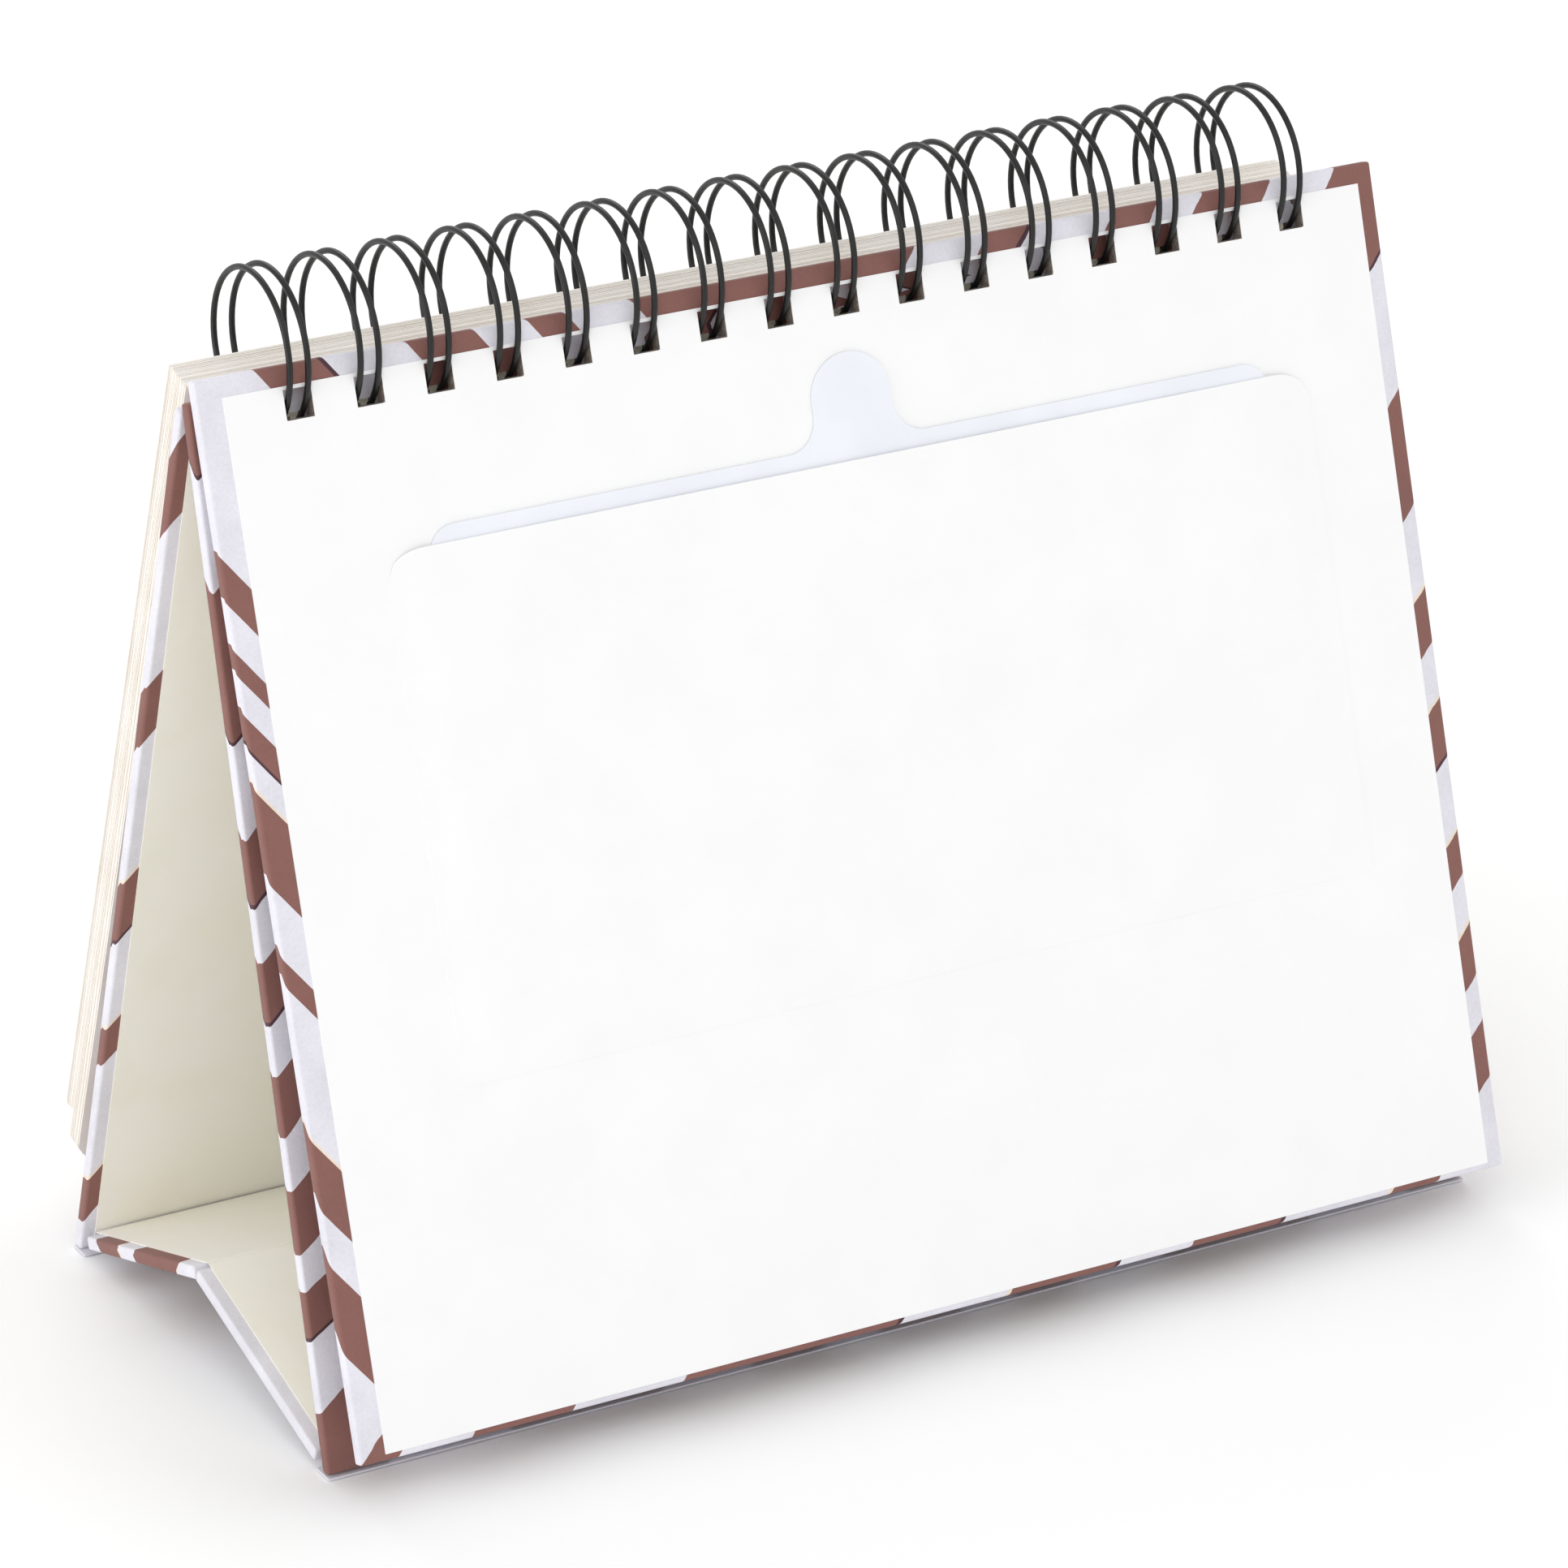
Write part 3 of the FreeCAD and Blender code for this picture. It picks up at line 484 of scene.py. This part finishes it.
front_leg = wrapped_board(
    "front_leg_wrapped_board", "front_leg_wrap", FRONT_LEG_ANGLE, FRONT_LEG_PAPER,
    "front_leg", LEG_HOLE_EDGE, -1,
)
rear_leg = wrapped_board(
    "rear_leg_wrapped_board", "rear_leg_wrap", REAR_LEG_ANGLE, REAR_LEG_PAPER,
    "rear_leg", LEG_HOLE_EDGE, 1,
)
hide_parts("front_leg_wrap", "front_leg_board")
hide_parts("rear_leg_wrap", "rear_leg_board")
dress("front_leg_liner", IVORY_LINING)
dress("rear_leg_liner", IVORY_LINING)

# ---- The base in two halves, and the paper folds -------------------------------------------------
# The two base boards rise from the legs' feet to a crease in the middle. Only the printed paper
# joins them to the legs: it rolls under each foot, and the calendar stands on these two folds.


BASE_ARRIS = 0.45 * MM


def base_angle(node):
    """The slope of a base board, from its box: it is as thick as the legs."""
    low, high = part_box(node)
    run, rise = high.y - low.y, high.z - low.z
    reach = math.sqrt(run ** 2 + rise ** 2 - BOARD_THICKNESS ** 2)
    return math.atan2(rise, run) - math.atan2(BOARD_THICKNESS, reach)


def base_board(name, node, angle, paper, body, inner_side):
    low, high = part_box(node)
    width = high.x - low.x
    reach = (high.z - low.z - BOARD_THICKNESS * abs(math.cos(angle))) / math.sin(angle)
    board = flat_block(name, -width / 2, width / 2, 0, reach, -BOARD_THICKNESS / 2, BOARD_THICKNESS / 2)
    apply_modifier(board, "BEVEL", width=BASE_ARRIS, segments=4, limit_method="ANGLE")
    board.data.materials.append(paper)
    keep_flat_place(board, width, reach, inner_side)
    stand_up(board, angle, slope_foot(node, angle, BOARD_THICKNESS))
    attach(board, body)
    return board


FRONT_BASE_ANGLE = base_angle("front_base_wrap")
REAR_BASE_ANGLE = math.pi - base_angle("rear_base_wrap")
FRONT_BASE_PAPER = upright_bands("front_base_printed_paper", 50.0, False, (62.0,), 0.0)
REAR_BASE_PAPER = upright_bands("rear_base_printed_paper", 50.0, False, (13.0, 30.5, 37.5, 46.3), 0.0)
front_base = base_board(
    "front_base_wrapped_board", "front_base_wrap", FRONT_BASE_ANGLE, FRONT_BASE_PAPER, "front_base", 1
)
rear_base = base_board(
    "rear_base_wrapped_board", "rear_base_wrap", REAR_BASE_ANGLE, REAR_BASE_PAPER, "rear_base", -1
)
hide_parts("front_base_wrap", "front_base_board")
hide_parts("rear_base_wrap", "rear_base_board")

LINING_THICKNESS = 0.15 * MM
FOLD_REACH = 1.2 * MM
CREASE_REACH = 1.0 * MM


def base_lining(name, node, board_node, angle, body, inner_side):
    """The lining over a base board: one sheet that runs from the leg's fold almost to the crease."""
    low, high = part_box(node)
    board_low, board_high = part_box(board_node)
    reach = (board_high.z - board_low.z - BOARD_THICKNESS * abs(math.cos(angle))) / math.sin(angle)
    level = inner_side * BOARD_THICKNESS / 2
    over = level + inner_side * LINING_THICKNESS
    levels = sorted((level, over))
    lining = flat_block(name, low.x, high.x, -FOLD_REACH, reach + CREASE_REACH, levels[0], levels[1])
    lining.data.materials.append(IVORY_LINING)
    stand_up(lining, angle, slope_foot(board_node, angle, BOARD_THICKNESS))
    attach(lining, body)
    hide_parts(node)


base_lining(
    "front_base_lining", "front_base_liner", "front_base_wrap", FRONT_BASE_ANGLE, "front_base", 1
)
base_lining(
    "rear_base_lining", "rear_base_liner", "rear_base_wrap", REAR_BASE_ANGLE, "rear_base", -1
)

# ---- The leaves ----------------------------------------------------------------------------------
# The leaves are uncoated cream paper in two stacks, the outer one a little shorter. Every leaf is
# punched, and no two lie quite square, so the block's edges show as fine uneven lines.

LEAF_ANGLE = math.radians(90 + 16.9)
LEAF_HOLE_EDGE = 3.9 * MM
LEAF_PITCH = 0.19 * MM
LEAF_SHEET = 0.165 * MM
LEAF_CORNER = 3.0 * MM
LEAF_FORMATION_MM = 11.0
LEAF_DRIFT_ACROSS = 0.22
LEAF_DRIFT_DOWN = 0.18
LEAF_DRIFT_UP = 0.05


def leaf_paper():
    """Uncoated cream book paper, with a faint cloudy formation and fibre relief."""
    material, tree = new_material("cream_leaf_paper")
    place = add_node(tree, "ShaderNodeTexCoord").outputs["Object"]
    settings = {"Scale": 1000 / LEAF_FORMATION_MM, "Detail": 5.0}
    cloud = add_node(tree, "ShaderNodeTexNoise", settings, {"Vector": place})
    ramp = add_node(tree, "ShaderNodeValToRGB", links={"Fac": cloud.outputs[0]})
    ramp.color_ramp.elements[0].position = 0.3
    ramp.color_ramp.elements[0].color = srgb("#F6F0E7")
    ramp.color_ramp.elements[1].position = 0.7
    ramp.color_ramp.elements[1].color = srgb("#FCF8F2")
    bump = fibre_bump(tree, place, 0.5, 0.04)
    finish_material(tree, paper_shader(tree, ramp.outputs["Color"], 0.7, bump))
    return material


LEAF_PAPER = leaf_paper()
leaf_shuffle = random.Random(7)


def one_leaf(width, height):
    """A single punched leaf with rounded bottom corners."""
    leaf = flat_block("leaf", -width / 2, width / 2, 0, height, 0, LEAF_SHEET)
    for edge in leaf.data.edges:
        ends = [leaf.data.vertices[index].co for index in edge.vertices]
        edge.select = (ends[0] - ends[1]).to_2d().length < 0.1 * MM and ends[0].y < MM
    for part in (*leaf.data.vertices, *leaf.data.polygons):
        part.select = False
    bpy.ops.object.mode_set(mode="EDIT")
    bpy.ops.mesh.select_mode(type="EDGE")
    bpy.ops.mesh.bevel(offset=LEAF_CORNER, segments=7, affect="EDGES")
    bpy.ops.object.mode_set(mode="OBJECT")
    punch_row(leaf, height, LEAF_HOLE_EDGE, 0)
    return leaf


def leaf_pack(node, body, model, thickness):
    """A pack of leaves between the CAD pack's two faces, each leaf a little out of line."""
    count = max(1, int(thickness / LEAF_PITCH))
    step = thickness / count
    leaves = []
    for index in range(count):
        leaf = model.copy()
        leaf.data = model.data.copy()
        bpy.context.collection.objects.link(leaf)
        across = leaf_shuffle.uniform(-LEAF_DRIFT_ACROSS, LEAF_DRIFT_ACROSS) * MM
        along = leaf_shuffle.uniform(-LEAF_DRIFT_DOWN, LEAF_DRIFT_UP) * MM
        shift = Vector((across, along, -thickness / 2 + index * step))
        leaf.data.transform(Matrix.Translation(shift))
        leaves.append(leaf)
    only(leaves[0])
    for leaf in leaves:
        leaf.select_set(True)
    bpy.ops.object.join()
    pack = bpy.context.object
    pack.name = f"{node}_sheets"
    pack.data.materials.clear()
    pack.data.materials.append(LEAF_PAPER)
    stand_up(pack, LEAF_ANGLE, slope_foot(node, LEAF_ANGLE, thickness))
    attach(pack, body)
    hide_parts(node)


LEAF_GROUPS = (
    ("last_leaf", ("last_leaf",), 0.3 * MM),
    ("inner_leaves", ("inner_leaves_1", "inner_leaves_2", "inner_leaves_3"), 1.17 * MM),
    ("outer_leaves", ("outer_leaves_1", "outer_leaves_2", "outer_leaves_3"), 0.89 * MM),
)
for body, nodes, thickness in LEAF_GROUPS:
    low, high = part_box(nodes[0])
    model_leaf = one_leaf(high.x - low.x, slope_height(nodes[0], LEAF_ANGLE, thickness))
    for node in nodes:
        leaf_pack(node, body, model_leaf, thickness)
    bpy.data.objects.remove(model_leaf, do_unlink=True)

# ---- The twin-loop binding -----------------------------------------------------------------------
# The binding is one steel wire in black nylon, formed into sixteen double loops and closed so that
# the hairpins and the straight spine lie hidden between the legs.


def nylon_wire():
    """Black nylon coating on wire: satin, with soft broad highlights."""
    material, tree = new_material("black_nylon_coated_wire")
    place = add_node(tree, "ShaderNodeTexCoord").outputs["Object"]
    haze = add_node(tree, "ShaderNodeTexNoise", {"Scale": 1000 / 2.5, "Detail": 4.0}, {"Vector": place})
    rough = add_node(
        tree, "ShaderNodeMapRange", {"To Min": 0.3, "To Max": 0.44}, {"Value": haze.outputs[0]}
    )
    settings = {"Base Color": srgb("#131312"), "Specular IOR Level": 0.4, "IOR": 1.53}
    shader = add_node(tree, "ShaderNodeBsdfPrincipled", settings, {"Roughness": rough.outputs[0]})
    finish_material(tree, shader)
    return material


dress("twin_loop_wire", nylon_wire())
FOLD_PAPER = plain_paper("fold_printed_paper", "#E3E1E9", "#DFDDE6", 0.5)
dress("front_fold_paper", FOLD_PAPER)
dress("rear_fold_paper", FOLD_PAPER)

# ---- Floor, light and camera ---------------------------------------------------------------------
# A pale floor, a white surround and large soft lights. A long lens looks slightly down at the cover.

FLOOR_SIZE = 12
FLOOR_LEVEL = -0.0002
bpy.ops.object.select_all(action="DESELECT")
bpy.ops.mesh.primitive_plane_add(size=FLOOR_SIZE, location=(0, 0, FLOOR_LEVEL))
floor = bpy.context.object
floor.name = "studio_floor"
floor_material, floor_tree = new_material("studio_floor_matte")
floor_shader = add_node(
    floor_tree, "ShaderNodeBsdfPrincipled", {"Base Color": srgb("#FFFFFF"), "Roughness": 0.9}
)
finish_material(floor_tree, floor_shader)
floor.data.materials.append(floor_material)

world = bpy.data.worlds.new("studio_air")
bpy.context.scene.world = world
world.use_nodes = True
world.node_tree.nodes["Background"].inputs["Color"].default_value = (1.0, 1.0, 1.0, 1.0)
world.node_tree.nodes["Background"].inputs["Strength"].default_value = 0.82


def soft_light(name, place, aim, size, power):
    bpy.ops.object.light_add(type="AREA", location=place)
    light = bpy.context.object
    light.name = name
    light.data.shape = "DISK"
    light.data.size = size
    light.data.energy = power
    light.rotation_mode = "QUATERNION"
    light.rotation_quaternion = (Vector(aim) - Vector(place)).to_track_quat("-Z", "Y")


MIDDLE = (0, 0, 0.1)
UNDER_THE_EASEL = (0, 0, 0.06)
soft_light("key_light", (-0.7, -1.3, 1.5), MIDDLE, 1.2, 4.5)
soft_light("fill_light", (1.2, -0.9, 0.9), MIDDLE, 1.2, 1.5)
soft_light("back_light", (0.2, 1.3, 1.3), MIDDLE, 1.2, 6)
soft_light("side_light", (-1.5, -0.1, 0.35), UNDER_THE_EASEL, 0.9, 6)

CAMERA_PLACE = Vector((-0.6131, -1.0247, 0.6060))
CAMERA_TURN = math.radians(30.93)
CAMERA_DROP = math.radians(23.71)
CAMERA_ROLL = math.radians(0.91)
bpy.ops.object.camera_add(location=CAMERA_PLACE)
camera = bpy.context.object
camera.data.lens = 175.16
camera.data.sensor_width = 36
camera.rotation_mode = "QUATERNION"
looking = Vector((
    math.sin(CAMERA_TURN) * math.cos(CAMERA_DROP),
    math.cos(CAMERA_TURN) * math.cos(CAMERA_DROP),
    -math.sin(CAMERA_DROP),
))
camera.rotation_quaternion = looking.to_track_quat("-Z", "Y") @ Quaternion((0, 0, 1), CAMERA_ROLL)
bpy.context.scene.camera = camera
bpy.context.scene.view_settings.view_transform = "Standard"

bpy.ops.object.select_all(action="DESELECT")
